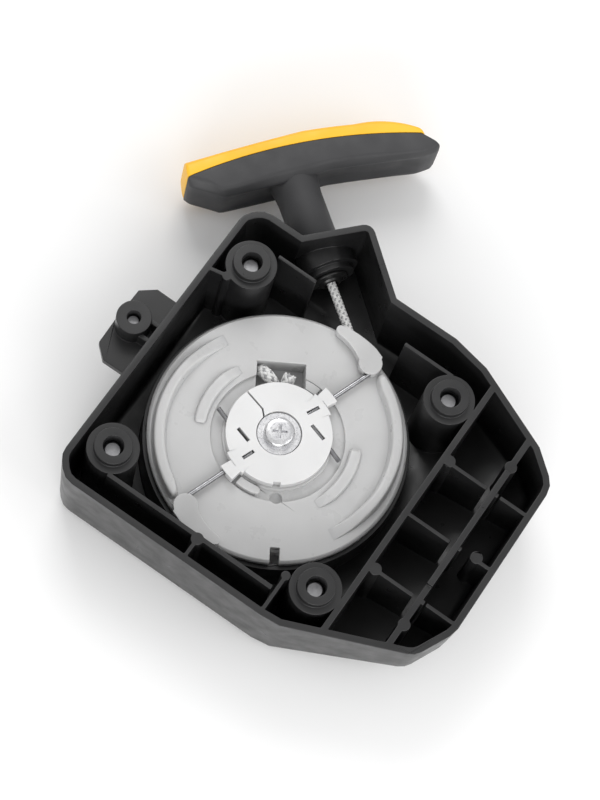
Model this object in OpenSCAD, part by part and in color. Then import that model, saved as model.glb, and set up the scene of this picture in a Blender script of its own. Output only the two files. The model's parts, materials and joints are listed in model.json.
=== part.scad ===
// Recoil starter of a small engine, in millimetres.
// It lies on its outer face. The open side, which bolts to the engine, faces up (+Z).
// Origin: the centre of the four mounting holes, on the plane of the boss faces.

/* [Housing] */
// Depth of the housing, from its rim to its outer face
housing_h = 36; // [34:0.5:40]
// How far the boss faces stand above the rim
spigot_h = 2.6; // [1:0.2:4]
// Thickness of the outer wall
wall_t = 2.3; // [1.8:0.1:3]
// Thickness of the floor
floor_t = 1.9; // [1.6:0.1:2.2]
// Draft of the walls, in degrees
draft_deg = 1.5; // [0.5:0.25:2.5]
// Rounding between the walls and the outer face
edge_r = 4.2; // [3:0.2:5]
// Rise of the floor of the side lobe, per millimetre towards its end
lobe_slope = 0.25; // [0.15:0.01:0.3]
// Thickness of the long ribs
rib_t = 2.2; // [1.6:0.1:3]
// Thickness of the cross ribs
cross_rib_t = 1.3; // [1:0.1:2]

/* [Mounting] */
// Diameter of the circle through the four mounting holes
bolt_pcd = 112; // [108:1:114]
// Radius of the mounting holes at the boss faces
bolt_hole_r = 3.4; // [3.2:0.1:3.6]
// Radius of the bosses
boss_r = 8.7; // [8:0.1:9.4]
// Radius of the raised boss faces
spigot_r = 6.3; // [5.5:0.1:7]
// Length of the screws, without their heads
screw_l = 20; // [16:1:22]

/* [Reel] */
// Radius of the upper flange of the reel
reel_r = 43.3; // [42:0.1:43.6]
// Radius of the drum that the rope winds on
drum_r = 28.2; // [26:0.2:30]
// Radius of the centre post
post_r = 7; // [6:0.1:8]
// Radial clearance of the reel on the post
running_gap = 0.05; // [0.02:0.01:0.1]
// Turns of the recoil spring
spring_turns = 9; // [6:1:11]

/* [Ratchet] */
// Angle of the first pawl's pivot round the reel
pawl_angle = 74.3; // [70:0.1:78]
// Distance of the pawl pivots from the axis
pawl_pivot_r = 40; // [39:0.1:41]
// Swing of the pawls between rest and drive, in degrees
pawl_swing = 30; // [20:1:32]
// Degrees that a pawl swings for each degree of the friction hub
pawl_ratio = 12.5; // [10:0.5:15]
// Radius of the friction hub
hub_r = 17.7; // [16:0.1:18]
// Radius of the actuating wires
wire_r = 0.8; // [0.6:0.1:1]

/* [Rope and handle] */
// Diameter of the rope
rope_d = 3; // [2.5:0.1:3.5]
// Direction in which the rope is pulled
pull_deg = 143.5; // [140:0.5:147]
// Distance of the rope's line from the axis
pull_r = 36.9; // [36.5:0.1:37.5]
// Radius of the handle's stem
stem_r = 7.75; // [7:0.05:8.5]
// Thickness of the handle
handle_t = 20; // [17:0.5:22]

/* [Hidden] */
$fn = 96;

// Levels, from the engine side down
z_rim = -spigot_h;
z_out = z_rim - housing_h;
z_skirt = z_out + 0.4;
z_floor = z_out + 2.4;
z_head = -10.6;
z_hub = -12.5;
z_pawl = -12.4;
z_washer = -13.2;
z_neck = -14.2;
z_reel = -16.2;
z_groove = -19.4;
z_rope = -22.9;
z_lower = -26.4;
z_drum = -28.2;
z_cup = -29;

// Radii about the axis
well_r = 42.4;
ring_r = 44.6;
disc_r = 46.9;
neck_r = 5.5;
insert_r = 3.6;
shank_r = 2.45;
coil_r = 38.3;
cup_r = 40;

rope_r = rope_d / 2;
bolt_xy = bolt_pcd / 2 * cos(45);
lobe_x = 30;
screw_tip = -4.6;
screw_seat = screw_tip - screw_l;

// Outline of the housing at its rim, anticlockwise: x, y, corner radius, corner segments,
// with no segments at a plain corner. It starts and turns back on the fold of the lobe floor.
OUTLINE = [
    [lobe_x, -57.2, 0, 0], [37, -56.6, 0, 0], [77.8, -39.2, 7, 2], [84.3, -25.4, 8, 1],
    [83.5, 35, 8, 2], [72.8, 43.8, 0, 0], [43.7, 56.4, 0, 0], [lobe_x, 59, 0, 0],
    [-47, 58.6, 7, 2], [-52, 53, 7, 2], [-52, -50.8, 7, 2], [-46.5, -57.2, 7, 2]
];
FOLD_NORTH = 7;

// The corner that stands out round the rope guide. Its base lies inside the outline.
ROPE_CORNER = [[19, 48.2, 0, 0], [-15.6, 76.5, 3.6, 4], [-40.3, 49.3, 0, 0]];

function unit(v) = v / norm(v);
function left_of(v) = [-v.y, v.x];
function turned(v, a) = [v.x * cos(a) - v.y * sin(a), v.x * sin(a) + v.y * cos(a)];
function polar(r, a) = [r * cos(a), r * sin(a)];
function xy(o, i) = let (p = o[(i + len(o)) % len(o)]) [p.x, p.y];
function edge_dir(o, i) = unit(xy(o, i + 1) - xy(o, i));

// Corner i of an outline that is moved inwards by d, as the points of its rounding
function corner(o, i, d) =
    let (a = edge_dir(o, i - 1), b = edge_dir(o, i), na = left_of(a), nb = left_of(b))
    let (m = xy(o, i) + d * (na + nb) / (1 + na * nb))
    let (turn = atan2(a.x * b.y - a.y * b.x, a * b), side = sign(turn))
    let (r = max(o[i][2] - side * d, 1), c = m - a * r * tan(abs(turn) / 2) + na * side * r)
    o[i][3] == 0 ? [m] : [for (k = [0:o[i][3]]) c + turned(-na * side * r, turn * k / o[i][3])];

function inset(o, d) = [for (i = [0:len(o) - 1]) each corner(o, i, d)];
function points_before(o, i) = i == 0 ? 0 : points_before(o, i - 1) + o[i - 1][3] + 1;

// Height of the skirt's underside, which rises under the lobe
function skirt(x) = z_skirt + lobe_slope * max(0, x - lobe_x);

// The rings of the shell: a top ring, then a rounding of radius r down to the skirt plus t
function shell_rings(z_top, d_top, t, r, steps) = concat(
    [[for (p = inset(OUTLINE, d_top)) [p.x, p.y, z_top]]],
    [for (k = [0:steps]) let (a = 90 * k / steps, low = z_rim - z_skirt - t - r)
        [for (p = inset(OUTLINE, d_top + low * tan(draft_deg) + r * (1 - cos(a))))
            [p.x, p.y, skirt(p.x) + t + r * (1 - sin(a))]]]);

// Stacks rings of equal length into a solid, whose base folds at the lobe
module ring_stack(rings) {
    n = len(rings[0]);
    m = len(rings);
    fold = points_before(OUTLINE, FOLD_NORTH);
    sides = [for (i = [0:m - 2], k = [0:n - 1]) let (j = (k + 1) % n)
        each [[i * n + k, i * n + j, (i + 1) * n + j], [i * n + k, (i + 1) * n + j, (i + 1) * n + k]]];
    base = (m - 1) * n;
    caps = [
        [for (k = [n - 1:-1:0]) k],
        [for (k = [0:fold]) base + k],
        [for (k = [fold:n]) base + k % n]
    ];
    polyhedron(points = [for (r = rings) each r], faces = concat(sides, caps));
}

module outer_shell() {
    ring_stack(shell_rings(z_rim, 0, 0, edge_r, 3));
    translate([0, 0, z_skirt + 0.3]) linear_extrude(z_rim - z_skirt - 0.3) polygon(inset(ROPE_CORNER, 0));
}

module inner_space() {
    ring_stack(shell_rings(z_rim + 1, wall_t, floor_t, edge_r - wall_t, 2));
    translate([0, 0, z_skirt + floor_t + 0.3]) linear_extrude(z_rim + 2 - z_skirt - floor_t)
        polygon(inset(ROPE_CORNER, wall_t));
}

// A circle's arc from a through b to c
function arc_centre(a, b, c) =
    let (d = 2 * (a.x * (b.y - c.y) + b.x * (c.y - a.y) + c.x * (a.y - b.y)))
    [((a * a) * (b.y - c.y) + (b * b) * (c.y - a.y) + (c * c) * (a.y - b.y)) / d,
     ((a * a) * (c.x - b.x) + (b * b) * (a.x - c.x) + (c * c) * (b.x - a.x)) / d];
function arc3(a, b, c, n) =
    let (o = arc_centre(a, b, c), s = a - o, e = c - o)
    let (sweep = atan2(s.x * e.y - s.y * e.x, s * e))
    [for (k = [0:n]) o + turned(s, sweep * k / n)];

module tube(r1, r2, z1, z2) {
    difference() {
        translate([0, 0, z1]) cylinder(r = r2, h = z2 - z1);
        translate([0, 0, z1 - 1]) cylinder(r = r1, h = z2 - z1 + 2);
    }
}

// A part of a ring between two angles
module sector(r1, r2, a1, a2, z1, z2) {
    translate([0, 0, z1]) rotate([0, 0, a1]) rotate_extrude(angle = a2 - a1)
        translate([r1, 0]) square([r2 - r1, z2 - z1]);
}

module disc(x, y, r, z1, z2) {
    translate([x, y, z1]) cylinder(r = r, h = z2 - z1);
}

module block(x1, x2, y1, y2, z1, z2) {
    translate([x1, y1, z1]) cube([x2 - x1, y2 - y1, z2 - z1]);
}

// A wall of thickness t between two points
module wall(p, q, t, z1, z2) {
    d = q - p;
    translate([p.x, p.y, z1]) rotate([0, 0, atan2(d.y, d.x)]) translate([0, -t / 2, 0])
        cube([norm(d), t, z2 - z1]);
}

module at_bolts() {
    for (x = [-bolt_xy, bolt_xy], y = [-bolt_xy, bolt_xy]) translate([x, y, 0]) children();
}

// Frame of the pull line: x runs along the pull, z is up, and the origin is its closest
// point to the axis
module pull_frame() {
    rotate([0, 0, pull_deg]) translate([0, -pull_r, z_rope]) children();
}

module along_pull(r, s1, s2) {
    translate([s1, 0, 0]) rotate([0, 90, 0]) cylinder(r = r, h = s2 - s1);
}

// A turned piece on the pull line, from its profile of [radius, distance] points
module turned_on_pull(profile) {
    rotate([0, 90, 0]) rotate_extrude() polygon(profile);
}

// Everything that stands inside the housing, up to above its rim
module inside_ribs() {
    lo = z_out - 1;
    hi = 5;
    at_bolts() translate([0, 0, lo]) cylinder(r = boss_r, h = hi - lo);
    disc(0, 0, ring_r, lo, -20);
    pull_frame() {
        along_pull(11, 52, 75);
        along_pull(9, 50, 60);
    }
    // long ribs of the lobe
    block(49.2 - rib_t / 2, 49.2 + rib_t / 2, -60, 60, lo, hi);
    block(68.8 - rib_t / 2, 68.8 + rib_t / 2, -21, 60, lo, hi);
    block(68.8 - rib_t / 2, 68.8 + rib_t / 2, -60, -17.3, lo, hi);
    // cross ribs of the lobe, which stop short of the outer long rib
    for (y = [21.4, -1, -23]) {
        block(49.2, 66.3, y - cross_rib_t / 2, y + cross_rib_t / 2, lo, hi);
        block(y == -1 ? 74.6 : 71.5, 90, y - cross_rib_t / 2, y + cross_rib_t / 2, lo, hi);
        block(68.2, 70.8, y - 0.8, y + 0.8, lo, hi);
    }
    // ribs of the main chamber
    wall([-36, -47.6], [28, -47.6], 1.6, lo, hi);
    wall([-0.4, -48.4], [-0.4, -60], cross_rib_t, lo, hi);
    wall([29.6, -41.7], [29.6, -60], cross_rib_t, lo, hi);
    wall([-34, 47.6], [-19, 47.6], cross_rib_t, lo, hi);
    wall([17, 47.2], [36, 47.2], cross_rib_t, lo, hi);
    wall([-54, 29.6], [-44, 31.6], cross_rib_t, lo, hi);
    wall([-44, 31.6], [-41, 36], cross_rib_t, lo, hi);
    // pips at the rib ends
    for (p = [[51.2, 21.9], [51.6, -22.8], [68.8, 32.2], [69.3, -32.7], [76.2, -0.2], [-0.4, -48.4]])
        disc(p.x, p.y, 2.15, lo, hi);
    for (p = [[29.5, -41.7], [-43.9, 31.5]]) disc(p.x, p.y, 1.6, lo, hi);
}

// Space of the reel and spring, round the centre post
module reel_well() {
    difference() {
        disc(0, 0, well_r, z_floor, -19);
        disc(0, 0, post_r, z_out, z_reel - 0.25);
        disc(0, 0, 9.4, z_out, z_floor + 0.7);
    }
}

// Screw eye on the outside of the housing
module side_lug() {
    disc(-60.4, 1.9, 5.9, -15.6, -4.6);
    translate([0, 0, -15.6]) linear_extrude(3) polygon([
        [-50.8, 17.3], [-61, 17.4], [-65.9, 13.4], [-66, 8.9], [-66.2, 0], [-65.9, -9.3],
        [-61.2, -13.7], [-50.8, -13.6]
    ]);
    for (y = [-1.2, 5]) block(-60, -50.8, y - 0.8, y + 0.8, -14, -7);
}

module starter_housing() {
    color("gold") difference() {
        union() {
            difference() {
                union() {
                    outer_shell();
                    rotate_extrude() polygon([
                        [0, z_out], [45.4, z_out], [46.5, z_out + 0.5], [disc_r, z_out + 1.6],
                        [disc_r, z_out + 5.2], [0, z_out + 5.2]
                    ]);
                }
                difference() {
                    inner_space();
                    inside_ribs();
                }
                reel_well();
            }
            at_bolts() disc(0, 0, spigot_r, -8, 0);
            disc(0, 0, neck_r, -20, z_neck);
            pull_frame() along_pull(9.5, 56, 61.3);
            block(68.8 - rib_t / 2, 68.8 + rib_t / 2, -17.3, 30, -8, z_rim + 1.5);
            side_lug();
        }
        // mounting holes, with counterbores from the outside
        at_bolts() {
            disc(0, 0, bolt_hole_r, -4, 1);
            disc(0, 0, 3.15, -40, -3);
            disc(0, 0, 5.9, -40, screw_seat);
        }
        disc(0, 0, insert_r, -26, 0);
        pull_frame() along_pull(5, 40, 75);
        sector(well_r - 1.5, ring_r + 1.5, 68, 100, -30, -19);
        disc(-60.4, 1.9, 2.3, -12, 0);
        disc(-60.4, 1.9, 1.95, -20, 0);
    }
}

module rope_guide() {
    color("dimgray") pull_frame() turned_on_pull([
        [1.9, 49.5], [2.3, 47.9], [2.9, 47.4], [3.6, 47.7], [4.2, 48.6], [6.4, 48.9],
        [6.4, 49.9], [5, 50], [5, 61.3], [7.2, 61.35], [7.2, 62.2], [2.9, 62.3], [1.9, 61]
    ]);
}

module centre_insert() {
    color("goldenrod") tube(2.5, insert_r, -26, z_neck - 0.2);
}

module spring_cup() {
    color("silver") {
        tube(cup_r - 1.2, cup_r, z_floor, z_cup);
        tube(9.6, cup_r - 0.6, z_floor, z_floor + 1);
    }
}

module spring_cover() {
    color("silver") tube(11, cup_r, z_cup, z_cup + 0.5);
}

// A flat strip wound from the hub out to the wall of the cup
module recoil_spring() {
    r0 = 10.6;
    r1 = cup_r - 2.2;
    t = 0.5;
    steps = 24 * spring_turns;
    color("steelblue") translate([0, 0, z_floor + 1.6]) linear_extrude(5) polygon(concat(
        [for (k = [0:steps]) polar(r0 + (r1 - r0) * k / steps, k * 15)],
        [for (k = [steps:-1:0]) polar(r0 + (r1 - r0) * k / steps + t, k * 15)]));
}

// One of the two walls that back a pawl, with the smaller arc and stop inside it
module reel_ramp() {
    difference() {
        sector(37, 41.6, -26, 69, z_reel - 1, z_pawl);
        translate([pawl_pivot().x, pawl_pivot().y, z_reel]) cylinder(r = 4.35, h = 6);
        // room for the wire's end, which moves clockwise as the hub drags
        translate([wire_end().x, wire_end().y, z_reel]) cylinder(r = 1.7, h = 6);
        // the far end slopes down to the flange
        rotate([0, 0, -7]) translate([30, 0, z_pawl]) rotate([16, 0, 0]) translate([0, -30, 0])
            cube([20, 30, 20]);
    }
    sector(24.3, 28.1, -21, 26, z_reel - 1, -14.5);
    sector(18.9, 21.8, 84, 103, z_reel - 2, -15);
    disc(polar(20.35, 103).x, polar(20.35, 103).y, 1.3, z_reel - 2, -15);
    disc(pawl_pivot().x, pawl_pivot().y, 1.25, z_reel - 1, z_pawl - 0.7);
}

function pawl_pivot() = polar(pawl_pivot_r, pawl_angle);

module reel() {
    color("gainsboro") difference() {
        union() {
            rotate_extrude() polygon([
                [post_r + running_gap, z_reel], [post_r + running_gap, -34.9], [9.2, -34.9],
                [9.2, z_drum - 0.6], [12, z_drum], [12, z_groove], [25.5, z_groove], [25.5, z_drum],
                [41.2, z_drum], [41.6, z_drum + 0.4], [41.6, z_lower - 0.5], [drum_r, z_lower],
                [drum_r, z_groove], [reel_r, z_groove + 0.4], [reel_r, z_reel - 0.9],
                [reel_r - 0.9, z_reel], [22.4, z_reel], [22.4, z_reel - 1.2], [18.5, z_reel - 1.2],
                [18.5, z_reel]
            ]);
            for (a = [0, 180]) rotate([0, 0, a]) reel_ramp();
            intersection() {
                rotate([0, 0, 121.4]) block(15.5, 30, -9.6, 9.6, -26, z_groove + 1);
                disc(0, 0, drum_r - 0.3, -27, z_reel);
            }
        }
        // pocket of the rope's knot, its way into the groove, and the rope notch of the rim
        rotate([0, 0, 121.4]) block(16.9, 26.1, -8.2, 8.2, -24.6, 0);
        rotate([0, 0, 134]) translate([24, 0, z_rope]) rotate([0, 90, 0]) cylinder(r = 1.7, h = 8);
        rotate([0, 0, -57.3]) block(38, 50, -1.6, 1.6, z_groove - 1, 0);
        disc(11.3, -17.7, 2.1, z_reel - 2.4, 0);
    }
}

module rope_coil() {
    color("whitesmoke") tube(drum_r + 0.15, coil_r, z_lower + 0.3, z_groove - 0.3);
}

module rope_lead() {
    color("white") pull_frame() along_pull(rope_r, 16, 80);
}

module rope_end() {
    color("white") pull_frame() along_pull(rope_r, 80.4, 90.5);
}

// The knot in the reel's pocket, with its loose end and the strand to the groove
module reel_knot() {
    color("white") {
        translate([-15.3, 16.8, -21.2]) {
            sphere(r = 3.1, $fn = 32);
            rotate([0, 85, 28]) cylinder(r = 2, h = 7.4);
        }
        rotate([0, 0, 134]) translate([22, 0, z_rope]) rotate([0, 90, 0]) cylinder(r = 1.4, h = 6);
    }
}

module handle_knot() {
    color("white") pull_frame() translate([93, 0, 0]) rotate([0, 90, 0]) cylinder(r = 3.6, h = 5, center = true);
}

// Outlines of the handle in the pull frame: the face that the cap sits on and the outside
// of the cap
CAP_FACE = arc3([95.3, 36.6], [97.1, 10], [88.3, -46.2], 12);
CAP_OUT = concat(arc3([101.2, 35.6], [102.2, 10], [98.6, -25], 9),
                 arc3([98.6, -25], [95.6, -38.6], [88.2, -48.6], 6));

module bar_slab(outline, half) {
    translate([0, 0, -half]) linear_extrude(2 * half) polygon(outline);
}

module pull_handle() {
    half = handle_t / 2;
    body_low = concat(CAP_FACE, [[83, -51], [80.3, -48.6], [80.2, -44], [85.5, 28.6], [92, 36.4]]);
    body_top = concat([for (p = CAP_FACE) p - [0.3, 0]], [[84.6, -47.6], [83.6, -44], [88.9, 26], [93, 33]]);
    color("dimgray") pull_frame() difference() {
        union() {
            difference() {
                hull() {
                    bar_slab(body_low, half - 3);
                    bar_slab(body_top, half);
                }
                bar_slab([[70, 27], [85.6, 27], [86, 0], [84.8, -13], [80.6, -42], [70, -42]], 6.4);
            }
            turned_on_pull(concat(
                [[0, 62.5], [stem_r - 0.8, 62.5], [stem_r, 63.3]],
                arc3([stem_r, 80.5], [stem_r + 0.35, 83], [9.4, 86], 4),
                [[9.4, 88], [0, 88]]));
        }
        along_pull(rope_r + 0.12, 60, 98);
        along_pull(4.3, 90, 99);
    }
}

module handle_cap() {
    half = handle_t / 2;
    inner = [for (p = CAP_OUT) p - [2.6, 0]];
    color("gold") pull_frame() difference() {
        hull() {
            bar_slab(concat(CAP_OUT, [[88, -46]], [[95.3, 36.6]]), half - 2.6);
            bar_slab(concat(inner, [[88, -46]], [[95.3, 35.6]]), half);
        }
        bar_slab(concat(CAP_FACE, [[82.9, -51.2], [70, -60], [70, 60]]), half + 1);
    }
}

// One actuating wire, as a rod of radius r with its bend in the hub: the long leg ends in
// the pawl and the short leg shows at the rim
leg_dir = polar(1, pawl_angle - 3.8);
leg_side = -left_of(leg_dir);
wire_bend = pawl_pivot() + 2.5 * leg_side - 28.8 * leg_dir;
wire_z = -14.3;
function wire_end() = turned(wire_bend + 26.5 * leg_dir, -pawl_swing / pawl_ratio);

module rod(p, q, r) {
    d = q - p;
    translate([p.x, p.y, wire_z]) rotate([0, 0, atan2(d.y, d.x)]) rotate([0, 90, 0])
        cylinder(r = r, h = norm(d), $fn = 24);
}

module wire() {
    rod(wire_bend, wire_bend + 26.5 * leg_dir, wire_r);
    rod(wire_bend, wire_bend + 18.8 * leg_side, wire_r);
    translate([wire_bend.x, wire_bend.y, wire_z]) sphere(r = wire_r, $fn = 24);
}

// The wire's channel in the hub, open below
module wire_channel() {
    t = 2 * wire_r + 0.15;
    wall(wire_bend - 1 * leg_dir, wire_bend + 30 * leg_dir, t, -17, wire_z + wire_r + 0.07);
    wall(wire_bend - 1 * leg_side, wire_bend + 22 * leg_side, t, -17, wire_z + wire_r + 0.07);
}

module friction_hub() {
    color("white") difference() {
        union() {
            disc(0, 0, hub_r, z_reel + 0.3, z_hub);
            for (a = [0, 180]) {
                sector(hub_r - 3, 22.6, 66 + a, 81 + a, z_reel + 0.3, z_hub);
                sector(hub_r - 3, 18.6, 57 + a, 84 + a, z_reel + 0.3, z_hub);
            }
        }
        disc(0, 0, neck_r + 0.1, -20, 0);
        disc(0, 0, 7.6, z_neck - 0.1, 0);
        for (a = [0, 180]) rotate([0, 0, a]) wire_channel();
        // the slit that lets the hub grip the post, and four slots
        wall([-19, 6.3], [-9.1, 3.7], 0.6, -20, 0);
        wall([-9.3, 3.8], [-4, -1.5], 0.6, -20, 0);
        for (s = [[-12, -6.6, -6.6, -8.2], [7.1, 8.8, 13.1, 7], [3.6, 11.2, 5.6, 15.4], [-4.9, -14.2, -3.3, -10]])
            wall([s[0], s[1]], [s[2], s[3]], 1.3, -20, 0);
        rotate([0, 0, -58.4]) block(hub_r - 0.9, hub_r + 3, -1.2, 1.2, -20, 0);
    }
}

// A pawl about its pivot. Its pocket clears the wire over the whole swing.
module pawl() {
    c = pawl_pivot();
    color("ivory") difference() {
        union() {
            disc(c.x, c.y, 4, z_reel + 0.3, z_pawl);
            translate([0, 0, z_reel + 0.3]) linear_extrude(z_pawl - z_reel - 0.3) polygon(concat(
                [[c.x, c.y], [13.6, 39.4], [12.9, 42.6]],
                arc3([9.5, 43.9], [4, 44.6], [-3, 44.3], 5),
                arc3([-4.4, 43.8], [-5.3, 42.6], [-4.8, 41.3], 4),
                arc3([-3.6, 40.7], [1.8, 39.8], [7, 37.2], 5)));
        }
        disc(c.x, c.y, 1.25 + running_gap, z_reel, z_pawl - 0.6);
        for (k = [0:3]) let (a = pawl_swing * k / 3)
            translate([c.x, c.y, 0]) rotate([0, 0, -a]) translate([-c.x, -c.y, 0])
            rotate([0, 0, -a / pawl_ratio])
            wall(wire_bend + 10 * leg_dir, wire_bend + 26.8 * leg_dir, 2 * wire_r + 0.4, -17, -13.35);
    }
}

module pawl_a() { pawl(); }
module pawl_b() { rotate([0, 0, 180]) pawl(); }
module pawl_wire_a() { color("silver") wire(); }
module pawl_wire_b() { color("silver") rotate([0, 0, 180]) wire(); }

module retaining_washer() {
    color("silver") tube(2.6, 7.3, z_neck, z_washer);
}

module centre_screw() {
    color("silver") difference() {
        union() {
            rotate_extrude() polygon([
                [0, z_washer], [5.2, z_washer], [5.2, z_washer + 1.5], [4.6, z_head - 0.35], [3.4, z_head], [0, z_head]
            ]);
            disc(0, 0, shank_r, -25, z_washer + 1);
        }
        for (a = [30, 120]) rotate([0, 0, a]) block(-2.4, 2.4, -0.45, 0.45, z_head - 1.6, 0);
    }
}

module mounting_screws() {
    color("silver") at_bolts() difference() {
        union() {
            disc(0, 0, 3, screw_seat - 1, screw_tip - 0.6);
            translate([0, 0, screw_tip - 0.6]) cylinder(r1 = 3, r2 = 2.4, h = 0.6);
            disc(0, 0, 5.2, screw_seat - 5, screw_seat);
        }
        translate([0, 0, screw_seat - 6]) cylinder(r = 2.9, h = 3.5, $fn = 6);
    }
}

module lug_screw() {
    color("silver") {
        disc(-60.4, 1.9, 1.8, -16, -8.4);
        disc(-60.4, 1.9, 3.6, -17.8, -15.6);
    }
}

starter_housing();
rope_guide();
centre_insert();
spring_cup();
spring_cover();
recoil_spring();
reel();
rope_coil();
rope_lead();
rope_end();
reel_knot();
handle_knot();
pull_handle();
handle_cap();
friction_hub();
pawl_wire_a();
pawl_wire_b();
pawl_a();
pawl_b();
retaining_washer();
centre_screw();
mounting_screws();
lug_screw();
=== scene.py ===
"""A recoil starter on its outer face, open side up, with its pull handle beside it.

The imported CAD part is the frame. The moulded parts are pieces made from their CAD nodes, with
flat faces joined and edges rounded. The handle, its cap and the walls of the reel are lofted
here, and the rope is braided here from strands. Lengths in the code are millimetres.
"""

import json
import math

import bmesh
import bpy
from mathutils import Matrix, Vector


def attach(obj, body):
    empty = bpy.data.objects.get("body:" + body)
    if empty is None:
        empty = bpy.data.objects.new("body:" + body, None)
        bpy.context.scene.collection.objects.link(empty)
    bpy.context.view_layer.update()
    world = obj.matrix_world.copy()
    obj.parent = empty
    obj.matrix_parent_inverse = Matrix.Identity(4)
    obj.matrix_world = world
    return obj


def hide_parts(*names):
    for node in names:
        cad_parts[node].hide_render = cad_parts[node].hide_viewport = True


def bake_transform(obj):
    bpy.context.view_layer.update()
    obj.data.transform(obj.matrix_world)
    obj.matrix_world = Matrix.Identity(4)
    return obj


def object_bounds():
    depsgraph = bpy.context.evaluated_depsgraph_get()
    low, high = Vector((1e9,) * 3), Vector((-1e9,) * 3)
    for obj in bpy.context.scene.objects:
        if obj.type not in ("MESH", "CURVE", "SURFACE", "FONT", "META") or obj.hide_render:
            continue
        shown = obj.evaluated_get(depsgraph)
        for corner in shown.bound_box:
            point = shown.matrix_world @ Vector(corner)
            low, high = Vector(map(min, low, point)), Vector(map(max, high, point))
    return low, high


MM = 0.001
FLOOR_GAP = 0.05  # keeps the floor clear of the flat face that rests on it

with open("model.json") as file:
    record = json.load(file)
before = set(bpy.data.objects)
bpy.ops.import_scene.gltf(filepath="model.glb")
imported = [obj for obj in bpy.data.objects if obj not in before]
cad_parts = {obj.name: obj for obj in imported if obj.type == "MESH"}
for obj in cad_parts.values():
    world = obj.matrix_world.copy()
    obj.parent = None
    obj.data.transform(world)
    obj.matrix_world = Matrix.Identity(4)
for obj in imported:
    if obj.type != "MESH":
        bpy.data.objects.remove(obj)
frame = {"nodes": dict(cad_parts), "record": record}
cad_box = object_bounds()
nodes = frame["nodes"]


# ---------------------------------------------------------------- camera, floor, light

def set_camera():
    bpy.context.scene.view_settings.view_transform = "Standard"
    right = Vector((0.8216, 0.5559, 0.1264))
    up = Vector((-0.5640, 0.7602, 0.3225))
    back = right.cross(up).normalized()
    up = back.cross(right).normalized()
    data = bpy.data.cameras.new("camera")
    data.lens = 127.0
    data.sensor_width = 36.0
    data.clip_start = 0.05
    data.clip_end = 20
    camera = bpy.data.objects.new("camera", data)
    turn = Matrix((right.normalized(), up, back)).transposed().to_4x4()
    camera.matrix_world = Matrix.Translation(Vector((76.5, -299.4, 860.7)) * MM) @ turn
    bpy.context.scene.collection.objects.link(camera)
    bpy.context.scene.camera = camera


def area_light(name, place, target, size, power):
    """A white area light, whose places and size are in metres."""
    data = bpy.data.lights.new(name, "AREA")
    data.shape = "RECTANGLE"
    data.size, data.size_y = size
    data.energy = power
    light = bpy.data.objects.new(name, data)
    light.location = place
    aim = Vector(target) - Vector(place)
    light.rotation_euler = aim.to_track_quat("-Z", "Y").to_euler()
    bpy.context.scene.collection.objects.link(light)


def set_stage():
    floor_z = cad_box[0][2] - FLOOR_GAP * MM
    mesh = bpy.data.meshes.new("floor")
    half = 3.0
    corners = [(x * half, y * half, floor_z) for x, y in ((-1, -1), (1, -1), (1, 1), (-1, 1))]
    mesh.from_pydata(corners, [], [(0, 1, 2, 3)])
    floor = bpy.data.objects.new("floor", mesh)
    bpy.context.scene.collection.objects.link(floor)
    mesh.materials.append(plain_material("floor_white", (0.9, 0.9, 0.9), 0.9))

    world = bpy.data.worlds.new("studio")
    world.use_nodes = True
    sky = world.node_tree.nodes["Background"]
    sky.inputs["Color"].default_value = (1, 1, 1, 1)
    sky.inputs["Strength"].default_value = 0.72
    bpy.context.scene.world = world

    middle = (0.0, 0.02, -0.02)
    area_light("key", (-0.45, 0.55, 0.75), middle, (0.5, 0.5), 3.3)
    area_light("fill", (0.7, 0.1, 0.6), middle, (0.6, 0.6), 2.0)
    area_light("front", (0.4, -0.75, 0.4), middle, (0.8, 0.4), 4.6)


# ---------------------------------------------------------------- materials

def plain_material(name, colour, roughness, metallic=0.0):
    """A Principled material of one colour, roughness and metalness."""
    material = bpy.data.materials.new(name)
    material.use_nodes = True
    shader = material.node_tree.nodes["Principled BSDF"]
    shader.inputs["Base Color"].default_value = (*colour, 1)
    shader.inputs["Roughness"].default_value = roughness
    shader.inputs["Metallic"].default_value = metallic
    return material


def add_node(material, kind, **inputs):
    """A new shader node with its named inputs set. An underscore stands for a space."""
    node = material.node_tree.nodes.new(kind)
    for key, value in inputs.items():
        node.inputs[key.replace("_", " ")].default_value = value
    return node


def place_noise(material, scale, detail=3.0, stretch=(1, 1, 1)):
    """Noise in the object's own coordinates, whose scale is in features per metre."""
    link = material.node_tree.links.new
    place = add_node(material, "ShaderNodeTexCoord")
    sizes = add_node(material, "ShaderNodeMapping")
    sizes.inputs["Scale"].default_value = stretch
    grain = add_node(material, "ShaderNodeTexNoise", Scale=scale, Detail=detail)
    link(place.outputs["Object"], sizes.inputs["Vector"])
    link(sizes.outputs["Vector"], grain.inputs["Vector"])
    return grain.outputs["Fac"]


def vary(material, socket, source, low, high, start=0.3, stop=0.7):
    """Drives a shader socket with a colour or number that runs from low to high over the noise."""
    tree = material.node_tree
    link, shader = tree.links.new, tree.nodes["Principled BSDF"]
    if isinstance(low, tuple):
        ramp = tree.nodes.new("ShaderNodeValToRGB")
        ramp.color_ramp.elements[0].position = start
        ramp.color_ramp.elements[1].position = stop
        ramp.color_ramp.elements[0].color = (*low, 1)
        ramp.color_ramp.elements[1].color = (*high, 1)
        link(source, ramp.inputs["Fac"])
        link(ramp.outputs["Color"], shader.inputs[socket])
    else:
        span = tree.nodes.new("ShaderNodeMapRange")
        for key, value in (("From Min", start), ("From Max", stop), ("To Min", low), ("To Max", high)):
            span.inputs[key].default_value = value
        link(source, span.inputs["Value"])
        link(span.outputs["Result"], shader.inputs[socket])


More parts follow.
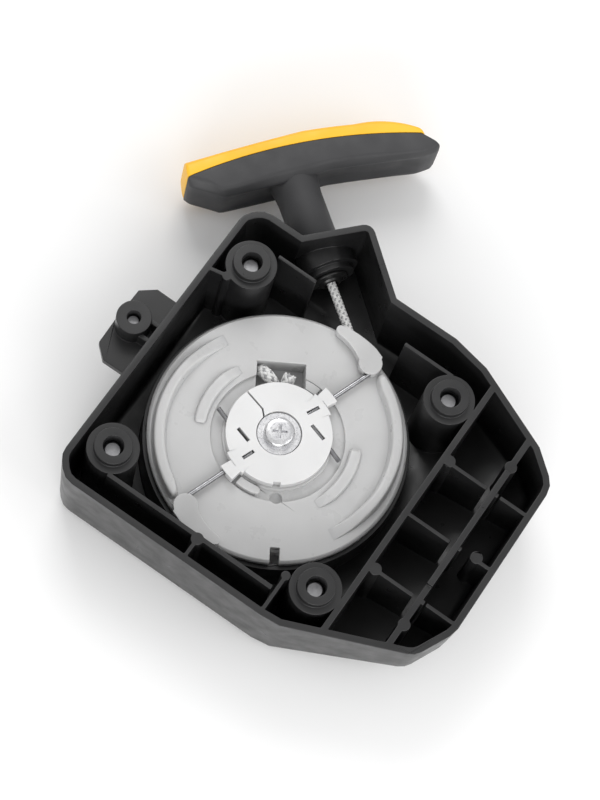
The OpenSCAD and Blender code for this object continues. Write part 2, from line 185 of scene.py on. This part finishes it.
def bump(material, source, strength, distance, after=None):
    """Bumps the surface by the noise, on top of an earlier bump if there is one."""
    link = material.node_tree.links.new
    node = add_node(material, "ShaderNodeBump", Strength=strength, Distance=distance)
    link(source, node.inputs["Height"])
    if after:
        link(after.outputs["Normal"], node.inputs["Normal"])
    link(node.outputs["Normal"], material.node_tree.nodes["Principled BSDF"].inputs["Normal"])
    return node


def moulded_plastic(name, dark, light, rough, grain_size, grain_depth):
    """Moulded plastic: slow cloudiness in its colour, uneven gloss and a fine even grain."""
    material = plain_material(name, light, rough)
    vary(material, "Base Color", place_noise(material, 45), dark, light)
    vary(material, "Roughness", place_noise(material, 160, 5), rough - 0.07, rough + 0.08)
    slow = bump(material, place_noise(material, 90, 2), 0.15, 0.3 * MM)
    bump(material, place_noise(material, 1 / grain_size, 2), 0.35, grain_depth, slow)
    return material


def nylon(name, dark, light, rough, depth):
    """Natural nylon: milky, with light scattered inside it."""
    material = moulded_plastic(name, dark, light, rough, 1.2 * MM, 0.02 * MM)
    shader = material.node_tree.nodes["Principled BSDF"]
    shader.inputs["Subsurface Weight"].default_value = 0.5
    shader.inputs["Subsurface Radius"].default_value = (1.0, 0.97, 0.92)
    shader.inputs["Subsurface Scale"].default_value = depth
    return material


def metal(name, dark, light, rough, streak=(1, 1, 1)):
    """Bare or plated metal with fine streaks in its gloss."""
    material = plain_material(name, light, rough, 1.0)
    vary(material, "Base Color", place_noise(material, 300, 4), dark, light)
    streaks = place_noise(material, 1500, 4, streak)
    vary(material, "Roughness", streaks, rough - 0.08, rough + 0.15)
    bump(material, streaks, 0.12, 0.03 * MM)
    return material


def fibre(name, dark, light):
    """Polyester rope fibre, with a fine fuzz."""
    material = plain_material(name, light, 0.75)
    vary(material, "Base Color", place_noise(material, 1400, 3), dark, light)
    bump(material, place_noise(material, 6000, 2), 0.5, 0.04 * MM)
    material.node_tree.nodes["Principled BSDF"].inputs["Sheen Weight"].default_value = 0.3
    return material


def make_materials():
    return {
        "black_plastic": moulded_plastic("black_plastic", (0.010, 0.010, 0.0105), (0.017, 0.017, 0.0175),
                                         0.34, 0.45 * MM, 0.03 * MM),
        "guide_nylon": moulded_plastic("guide_nylon", (0.008, 0.008, 0.008), (0.014, 0.014, 0.014),
                                       0.3, 1.0 * MM, 0.01 * MM),
        "natural_nylon": nylon("natural_nylon", (0.51, 0.51, 0.51), (0.56, 0.56, 0.56), 0.32, 2.2 * MM),
        "white_plastic": nylon("white_plastic", (0.66, 0.66, 0.66), (0.72, 0.72, 0.72), 0.4, 1.0 * MM),
        "pawl_nylon": nylon("pawl_nylon", (0.46, 0.46, 0.46), (0.56, 0.56, 0.56), 0.34, 2.0 * MM),
        "handle_rubber": moulded_plastic("handle_rubber", (0.03, 0.03, 0.032), (0.045, 0.045, 0.047),
                                         0.55, 0.4 * MM, 0.05 * MM),
        "yellow_plastic": moulded_plastic("yellow_plastic", (0.90, 0.47, 0.012), (0.96, 0.53, 0.02),
                                          0.45, 0.4 * MM, 0.04 * MM),
        "zinc_steel": metal("zinc_steel", (0.62, 0.62, 0.64), (0.82, 0.82, 0.83), 0.28),
        "dull_steel": metal("dull_steel", (0.30, 0.30, 0.31), (0.42, 0.42, 0.43), 0.42),
        "wire_steel": metal("wire_steel", (0.22, 0.22, 0.23), (0.36, 0.36, 0.37), 0.22, (0.2, 1, 1)),
        "spring_steel": metal("spring_steel", (0.12, 0.13, 0.16), (0.22, 0.24, 0.28), 0.3),
        "brass": metal("brass", (0.6, 0.42, 0.16), (0.8, 0.6, 0.28), 0.3),
        "rope": fibre("rope", (0.72, 0.72, 0.71), (0.9, 0.9, 0.89)),
        "rope_fleck": fibre("rope_fleck", (0.3, 0.3, 0.305), (0.44, 0.44, 0.45)),
    }


# ---------------------------------------------------------------- pieces from CAD nodes

def piece_object(name, mesh, body, material):
    """A piece with one material, riding on a body."""
    obj = bpy.data.objects.new(name, mesh)
    bpy.context.scene.collection.objects.link(obj)
    mesh.materials.clear()
    mesh.materials.append(material)
    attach(obj, body)
    return obj


def body_of(node):
    bodies = frame["record"]["behaviour"]["bodies"]
    return next(body for body, members in bodies.items() if node in members)


def slot_of(node):
    return next(s["material_slot"] for s in frame["record"]["subparts"] if s["node"] == node)


def cell_cut(work, cuts):
    """Cuts a mesh along planes, so that no flat face goes all the way round a hole, and
    joins the coplanar faces between them."""
    for axis, places in enumerate(cuts):
        normal = Vector((axis == 0, axis == 1, 0))
        for place in places:
            geometry = work.verts[:] + work.edges[:] + work.faces[:]
            bmesh.ops.bisect_plane(work, geom=geometry, dist=1e-7,
                                   plane_co=normal * place * MM, plane_no=normal)
    for face in work.faces:
        centre = face.calc_center_median() / MM
        column = sum(centre.x > place for place in cuts[0])
        row = sum(centre.y > place for place in cuts[1])
        face.material_index = column * (len(cuts[1]) + 1) + row
    bmesh.ops.dissolve_limit(work, angle_limit=math.radians(0.6), verts=work.verts, edges=work.edges,
                             delimit={"MATERIAL"})
    for face in work.faces:
        face.material_index = 0
        face.smooth = True


SHARP_DEG = 28.0  # edges sharper than this are rounded
FLANGE_Z, WALL_Z, ARC_Z = -16.2, -12.4, -14.5  # tops of the reel's flange, walls and arcs


def flatten_walls(work):
    """Brings the reel's raised walls and arcs down to its flange. make_reel_walls stands for them."""
    for vert in work.verts:
        radius = vert.co.xy.length / MM
        if vert.co.z > (FLANGE_Z + 0.02) * MM and (radius > 35 or 23.5 < radius < 29):
            vert.co.z = FLANGE_Z * MM
    bmesh.ops.remove_doubles(work, verts=work.verts, dist=0.02 * MM)
    bmesh.ops.dissolve_degenerate(work, edges=work.edges, dist=0.02 * MM)


def softened(node, width, cuts=((0,), (0,)), before=None):
    """Stands for a CAD node: its own shape, with its edges rounded. before changes the mesh first."""
    mesh = nodes[node].data.copy()
    mesh.name = node + "_piece"
    work = bmesh.new()
    work.from_mesh(mesh)
    bmesh.ops.remove_doubles(work, verts=work.verts, dist=0.002 * MM)
    if before:
        before(work)
    cell_cut(work, cuts)
    work.to_mesh(mesh)
    work.free()
    obj = piece_object(mesh.name, mesh, body_of(node), materials[slot_of(node)])
    rounding = obj.modifiers.new("rounding", "BEVEL")
    rounding.width = width
    rounding.segments = 2
    rounding.limit_method = "ANGLE"
    rounding.angle_limit = math.radians(SHARP_DEG)
    rounding.use_clamp_overlap = False
    rounding.miter_outer = "MITER_ARC"
    shade = obj.modifiers.new("shade", "WEIGHTED_NORMAL")
    shade.weight = 60
    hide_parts(node)
    return obj


def finish_node(node, finish=None):
    """Gives a CAD node that stays as it is its material."""
    obj = nodes[node]
    obj.data.materials.clear()
    obj.data.materials.append(materials[finish or slot_of(node)])


# ---------------------------------------------------------------- mesh tools

def mesh_of(name, points, faces, slots=None):
    mesh = bpy.data.meshes.new(name)
    mesh.from_pydata(points, [], faces)
    mesh.polygons.foreach_set("use_smooth", [True] * len(faces))
    if slots:
        mesh.polygons.foreach_set("material_index", slots)
    mesh.update()
    return mesh


def loft(rings, first=0, around=False):
    """Faces between rings of equal length, with a face over each end unless they run around."""
    count, size = len(rings), len(rings[0])
    faces = []
    for i in range(count if around else count - 1):
        a, b = first + i * size, first + (i + 1) % count * size
        faces += [(a + k, a + (k + 1) % size, b + (k + 1) % size, b + k) for k in range(size)]
    if not around:
        faces.append(tuple(first + k for k in reversed(range(size))))
        faces.append(tuple(first + (count - 1) * size + k for k in range(size)))
    return faces


def lathe(profile, place, segments=64):
    """Rings round an axis from (radius, distance) points. place turns (distance, across, up)
    into a point of the scene."""
    rings = []
    for radius, distance in profile:
        angles = [2 * math.pi * k / segments for k in range(segments)]
        rings.append([place(distance, radius * math.cos(t), radius * math.sin(t)) for t in angles])
    return rings


def rounded(corners, steps=4):
    """A closed outline whose corners (x, y, reach of the rounding) become short curves."""
    outline = []
    for i, (x, y, reach) in enumerate(corners):
        here = Vector((x, y))
        before = Vector(corners[i - 1][:2]) - here
        after = Vector(corners[(i + 1) % len(corners)][:2]) - here
        start = here + before.normalized() * min(reach, before.length * 0.48)
        stop = here + after.normalized() * min(reach, after.length * 0.48)
        for k in range(steps + 1):
            t = k / steps
            outline.append(start * (1 - t) ** 2 + here * 2 * t * (1 - t) + stop * t * t)
    return outline


def fix_normals(mesh, angle=40.0):
    """Turns the faces outwards and keeps edges sharper than angle crisp."""
    work = bmesh.new()
    work.from_mesh(mesh)
    bmesh.ops.recalc_face_normals(work, faces=work.faces)
    for line in work.edges:
        line.smooth = len(line.link_faces) == 2 and line.calc_face_angle(0) < math.radians(angle)
    work.to_mesh(mesh)
    work.free()


def circle_through(a, b, c):
    """The circle through three (s, y) points, as the function that gives s from y on its outer side."""
    ax, ay, bx, by, cx, cy = *a, *b, *c
    d = 2 * (ax * (by - cy) + bx * (cy - ay) + cx * (ay - by))
    aa, bb, cc = ax * ax + ay * ay, bx * bx + by * by, cx * cx + cy * cy
    ox = (aa * (by - cy) + bb * (cy - ay) + cc * (ay - by)) / d
    oy = (aa * (cx - bx) + bb * (ax - cx) + cc * (bx - ax)) / d
    radius = math.hypot(ax - ox, ay - oy)
    return lambda y: ox + math.sqrt(max(radius * radius - (y - oy) ** 2, 0))


def along(points, y):
    """The value at y on a line through (y, value) points, in rising y."""
    if y <= points[0][0]:
        return points[0][1]
    for (y0, v0), (y1, v1) in zip(points, points[1:]):
        if y <= y1:
            return v0 + (v1 - v0) * (y - y0) / (y1 - y0)
    return points[-1][1]


# ---------------------------------------------------------------- rope

PULL_DEG, PULL_R, ROPE_Z, ROPE_R = 143.5, 36.9, -22.9, 1.5
PULL = Vector((math.cos(math.radians(PULL_DEG)), math.sin(math.radians(PULL_DEG)), 0))
ACROSS = Vector((-PULL.y, PULL.x, 0))


def on_pull(s, y, z):
    """A point of the pull line's own frame, in millimetres, as a point of the scene."""
    return (PULL * s + ACROSS * (y - PULL_R) + Vector((0, 0, z + ROPE_Z))) * MM


def path_frames(points, step):
    """Even stations on a smooth curve through points: place, and two directions across it."""
    dense = []
    ends = [points[0] * 2 - points[1], *points, points[-1] * 2 - points[-2]]
    for a, b, c, d in zip(ends, ends[1:], ends[2:], ends[3:]):
        for k in range(24):
            t = k / 24
            dense.append((b * 2 + (c - a) * t + (a * 2 - b * 5 + c * 4 - d) * t * t
                          + (b * 3 - a - c * 3 + d) * t ** 3) / 2)
    dense.append(points[-1])
    stations, run = [dense[0]], 0.0
    for p, q in zip(dense, dense[1:]):
        length = (q - p).length
        while run + length >= step:
            p = p + (q - p) * (step - run) / length
            stations.append(p)
            run, length = 0.0, (q - p).length
            if length < 1e-9:
                break
        run += length
    side = None
    frames = []
    for i, place in enumerate(stations):
        ahead = (stations[min(i + 1, len(stations) - 1)] - stations[max(i - 1, 0)]).normalized()
        if side is None:
            side = ahead.orthogonal().normalized()
        side = (side - ahead * side.dot(ahead)).normalized()
        frames.append((place, side, ahead.cross(side)))
    return frames


def braid(name, paths, radius=ROPE_R, pitch=9.0, step=0.42):
    """A braided rope along one or more paths: eight flat strands wound each way, over and
    under each other on a round core. Every second strand of one set is dark."""
    points, faces, slots = [], [], []
    middle, lift, core_r = radius * 0.8, radius * 0.075, radius * 0.72
    half_width, half_thick = radius * 0.25, radius * 0.13
    for path in paths:
        frames = path_frames([p / MM for p in path], step)
        core = [[f[0] + (f[1] * math.cos(t) + f[2] * math.sin(t)) * core_r
                 for t in (math.pi * k / 6 for k in range(12))] for f in frames[::3] + frames[-1:]]
        faces += loft(core, len(points))
        points += [p * MM for ring in core for p in ring]
        slots += [0] * (len(faces) - len(slots))
        for turn in (1, -1):
            for strand in range(8):
                rings = []
                for i, (place, side, up) in enumerate(frames):
                    angle = turn * 2 * math.pi * i * step / pitch + math.pi * strand / 4
                    out = side * math.cos(angle) + up * math.sin(angle)
                    about = (up * math.cos(angle) - side * math.sin(angle)) * turn
                    lean = math.atan2(2 * math.pi * middle, pitch)
                    wide = about * math.cos(lean) - side.cross(up) * math.sin(lean)
                    centre = place + out * (middle + turn * lift * math.cos(16 * math.pi * i * step / pitch))
                    rings.append([centre + wide * (half_width * math.cos(t))
                                  + out * (half_thick * math.sin(t))
                                  for t in (math.pi * k / 3 for k in range(6))])
                faces += loft(rings, len(points))
                points += [p * MM for ring in rings for p in ring]
                slots += [int(turn == 1 and strand % 2 == 1)] * (len(faces) - len(slots))
    mesh = mesh_of(name, points, faces, slots=slots)
    mesh.materials.append(materials["rope"])
    mesh.materials.append(materials["rope_fleck"])
    obj = bpy.data.objects.new(name, mesh)
    bpy.context.scene.collection.objects.link(obj)
    return obj


def make_pull_rope():
    """The rope from the reel to its knot in the handle. It runs out from inside the stem."""
    rope = braid("pull_rope", [[on_pull(s, 0, 0) for s in (16, 34, 52, 70, 90.4)]], 1.62)
    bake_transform(rope)
    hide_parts("rope_lead", "rope_end")


def make_reel_knot():
    """The knotted end in the reel's pocket: a loop that comes out of the drum, and the loose end."""
    loop = [(-19.4, 20.1, -22.9), (-18.2, 18.6, -22.6), (-17.7, 17.4, -20.3), (-16.0, 16.7, -18.7),
            (-13.8, 16.2, -18.8), (-12.2, 15.9, -20.6), (-11.9, 15.9, -23.0)]
    loose = [(-8.2, 17.4, -23.0), (-8.4, 18.3, -21.0), (-8.7, 19.8, -19.3), (-9.0, 21.3, -18.7)]
    knot = braid("reel_knot_rope", [[Vector(p) * MM for p in loop]], 2.2, 11)
    end = braid("reel_knot_end", [[Vector(p) * MM for p in loose]], 2.3, 11)
    for obj in (knot, end):
        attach(obj, "reel")
    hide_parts("reel_knot")


def make_rope_coil():
    """The rope's turns on the drum, as one ring with the outline of its turns."""
    low, high, inner, outer = -25.9, -19.9, 28.4, 36.8
    outline = [(inner, low), (inner, high)]
    outline += [(x, high + 0.25 - 0.5 * (k % 2)) for k, x in enumerate((31.2, 32.7, 34.2, 35.7))]
    for centre in (high - ROPE_R, low + ROPE_R):
        outline += [(outer + ROPE_R * math.cos(t), centre + ROPE_R * math.sin(t))
                    for t in (math.pi * (0.45 - k / 10) for k in range(10))]
    outline += [(x, low) for x in (35.7, 34.2, 32.7)]
    segments = 120
    rings = []
    for i in range(segments):
        t = 2 * math.pi * i / segments
        rings.append([Vector((r * math.cos(t), r * math.sin(t), z)) * MM for r, z in outline])
    mesh = mesh_of("rope_turns", [p for ring in rings for p in ring], loft(rings, around=True))
    obj = piece_object("rope_turns", mesh, "reel", materials["rope"])
    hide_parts("rope_coil")


def make_reel_walls():
    """The two walls that back the pawls and the two smaller arcs, each with a long soft end."""
    walls = [  # angle, inner and outer radius, share of the height
        [(-28, 35.4, 39.4, 0.0), (-22, 35.5, 39.4, 0.12), (-14, 35.8, 39.5, 0.42), (-5, 36.3, 39.7, 0.8),
         (4, 36.9, 40.0, 1.0), (25, 37.5, 40.9, 1.0), (45, 38.0, 41.4, 1.0), (60.5, 38.3, 41.6, 1.0),
         (65, 39.1, 41.6, 1.0), (66.8, 39.7, 41.4, 0.85), (67.5, 40.0, 41.1, 0.4)],
        [(-27, 24.6, 27.6, 0.0), (-22, 24.5, 27.8, 0.35), (-14, 24.3, 28.0, 0.85), (-6, 24.3, 28.0, 1.0),
         (20, 24.3, 28.0, 1.0), (24, 24.4, 27.9, 0.9), (26, 24.8, 27.5, 0.5)]]
    faces, points = [], []
    for stations, top in zip(walls, (WALL_Z, ARC_Z)):
        low, high = stations[0][0], stations[-1][0]
        count = round(high - low)  # a station for each degree
        for half_turn in (0, 180):
            rings = []
            for k in range(count + 1):
                angle = low + (high - low) * k / count
                inner, outer, share = (along([(st[0], st[j]) for st in stations], angle)
                                       for j in (1, 2, 3))
                rise = max((top - FLANGE_Z) * share, 0.02)
                base, crest, foot = FLANGE_Z - 0.3, FLANGE_Z + rise, FLANGE_Z + 0.12 * rise
                flare = 0.25 + 0.22 * rise
                section = rounded([(inner - flare, base, 0.1), (inner - 0.12 * rise, foot, flare),
                                   (inner, crest, min(0.9, rise)), (outer, crest, min(0.9, rise)),
                                   (outer + 0.12 * rise, foot, flare), (outer + flare, base, 0.1)])
                turn = math.radians(angle + half_turn)
                rings.append([Vector((p.x * math.cos(turn), p.x * math.sin(turn), p.y)) * MM
                              for p in section])
            faces += loft(rings, len(points))
            points += [p for ring in rings for p in ring]
    mesh = mesh_of("reel_walls", points, faces)
    piece_object("reel_walls", mesh, "reel", materials["natural_nylon"])
    fix_normals(mesh, 50)


# ---------------------------------------------------------------- handle

BAR_TOP = 10  # half the bar's thickness
SLANT_Y = -46.2  # where the bar's slanting end begins
seam = circle_through((95.3, 36.6), (97.1, 10), (88.3, SLANT_Y))
crown = circle_through((101.2, 35.6), (102.2, 10), (98.6, -25))
crown_end = circle_through((98.6, -25), (95.6, -38.6), (88.2, -48.6))


def cap_face(y):
    """Where the cap meets the bar. Past the cap it is the bar's slanting end."""
    return seam(y) if y > SLANT_Y else along([(-51.2, 82.8), (SLANT_Y, 88.3)], y)


def end_stations(low, high, reach, middle):
    """Stations (y, fullness) along the handle, closer together in the rounding at each end."""
    ends = [(reach * (1 - math.sin(t)), math.cos(t)) for t in (math.pi / 8 * k for k in range(1, 5))]
    stations = [(low + d, f) for d, f in reversed(ends)]
    stations += [(low + reach + (high - low - 2 * reach) * k / middle, 1.0) for k in range(middle + 1)]
    stations += [(high - d, f) for d, f in ends]
    return stations


# (y, s) along the bar: its finger side, the edge of its flat face, and the depth of its recess
FINGER = [(-51, 81.4), (-49, 80.9), (-45, 80.7), (-33.4, 82.3), (-20.7, 84.1), (-12, 85.2), (5.6, 84.8),
          (15.9, 85.2), (26.1, 85.7), (36.5, 92.6)]
CREASE = [(-51, 82.4), (-47, 81.7), (-43.4, 81.6), (-34.3, 83.5), (-25.1, 85.4), (-18.9, 86.4), (-11.2, 87.1),
          (9.3, 87.7), (21.1, 87.1), (26.4, 87.5), (29.8, 91.4), (35.4, 94.9), (36.5, 95.0)]
HOLLOW = [(-44, 0.0), (-40, 0.9), (-13, 1.7), (0, 1.8), (20, 1.0), (25.5, 0.0)]


def make_handle():
    """The bar of the handle with its finger recesses, and its stem."""
    rings = []
    for y, full in end_stations(-50.9, 36.5, 1.6, 60):
        top = BAR_TOP - 1.4 * (1 - full)
        cap = cap_face(y) - 0.5 * (1 - full)
        flat = min(along(CREASE, y), cap - 0.5)
        finger = min(along(FINGER, y) + 1.0 * (1 - full), flat - 0.3)
        hollow = finger + min(along(HOLLOW, y), 0.8 * (flat - finger) + 0.8)
        half = [(cap, top, 0.7), (flat, top, 1.1), (finger, top - 2.6, 1.0), (finger, 6.3, 0.6),
                (hollow, 4.6, 2.0)]
        corners = half + [(s, -z, r) for s, z, r in reversed(half)]
        rings.append([on_pull(p.x, y, p.y) for p in rounded(corners)])
    faces = loft(rings)
    points = [p for ring in rings for p in ring]
    stem_r, flare_at = 7.75, 79
    profile = [(1.7, 66), (1.7, 62.9), (2.0, 62.55), (6.8, 62.5), (7.4, 62.7), (stem_r, 63.3),
               (stem_r, flare_at)]
    profile += [(stem_r + 2.1 * (1 - math.cos(t)), flare_at + 9.5 * math.sin(t) ** 1.3)
                for t in (math.pi / 2 * k / 10 for k in range(1, 11))]
    profile.append((9.85, 90))
    stem = lathe(profile, on_pull)
    faces += loft(stem, len(points))
    points += [p for ring in stem for p in ring]
    mesh = mesh_of("handle_body", points, faces)
    obj = piece_object("handle_body", mesh, "handle", materials["handle_rubber"])
    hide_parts("pull_handle")
    fix_normals(mesh)


def make_handle_cap():
    """The yellow cap along the back of the handle."""
    rings = []
    for y, full in end_stations(-47.2, 36.3, 1.3, 60):
        low = cap_face(y) + 0.02
        out = crown(y) if y > -25 else crown_end(y)
        out = max(min(out, along([(35.6, 101.2), (36.6, 95.8)], y)), low + 0.5) - 1.0 * (1 - full)
        out = max(out, low + 0.3)
        top = BAR_TOP - 1.0 * (1 - full)
        reach = min(4.4, (out - low) * 0.8)
        corners = [(low, top, 0.2), (out, top, reach), (out, -top, reach), (low, -top, 0.2)]
        rings.append([on_pull(p.x, y, p.y) for p in rounded(corners, 6)])
    mesh = mesh_of("handle_cap_piece", [p for ring in rings for p in ring], loft(rings))
    obj = piece_object("handle_cap_piece", mesh, "handle", materials["yellow_plastic"])
    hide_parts("handle_cap")
    fix_normals(mesh)


# ---------------------------------------------------------------- the scene

materials = make_materials()
set_camera()
set_stage()

bolt = 56 * math.sqrt(0.5)  # how far each bolt hole is from the centre in x and in y
softened("starter_housing", 0.25 * MM, cuts=((-60.4, -51, -bolt, -20, 0, 20, bolt, 49.2, 58, 68.8, 76),
                                             (-52, -bolt, -20, 0, 1.9, 20, bolt, 52, 66)))
softened("rope_guide", 0.3 * MM)
softened("reel", 0.25 * MM, cuts=((-30, -20, -11, 0, 11, 20, 30), (-38, -18, 0, 18, 38)),
         before=flatten_walls)
make_reel_walls()
softened("friction_hub", 0.1 * MM, cuts=((-10, -4, 0, 4, 10), (-12, -7, 0, 7, 12)))
softened("pawl_a", 0.2 * MM)
softened("pawl_b", 0.2 * MM)
softened("centre_screw", 0.12 * MM)
softened("retaining_washer", 0.15 * MM)
make_handle()
make_handle_cap()
make_pull_rope()
make_reel_knot()
make_rope_coil()
for node in ("centre_insert", "spring_cup", "spring_cover", "recoil_spring", "handle_knot", "pawl_wire_a",
             "pawl_wire_b"):
    finish_node(node)
for node in ("mounting_screws", "lug_screw"):
    finish_node(node, "dull_steel")
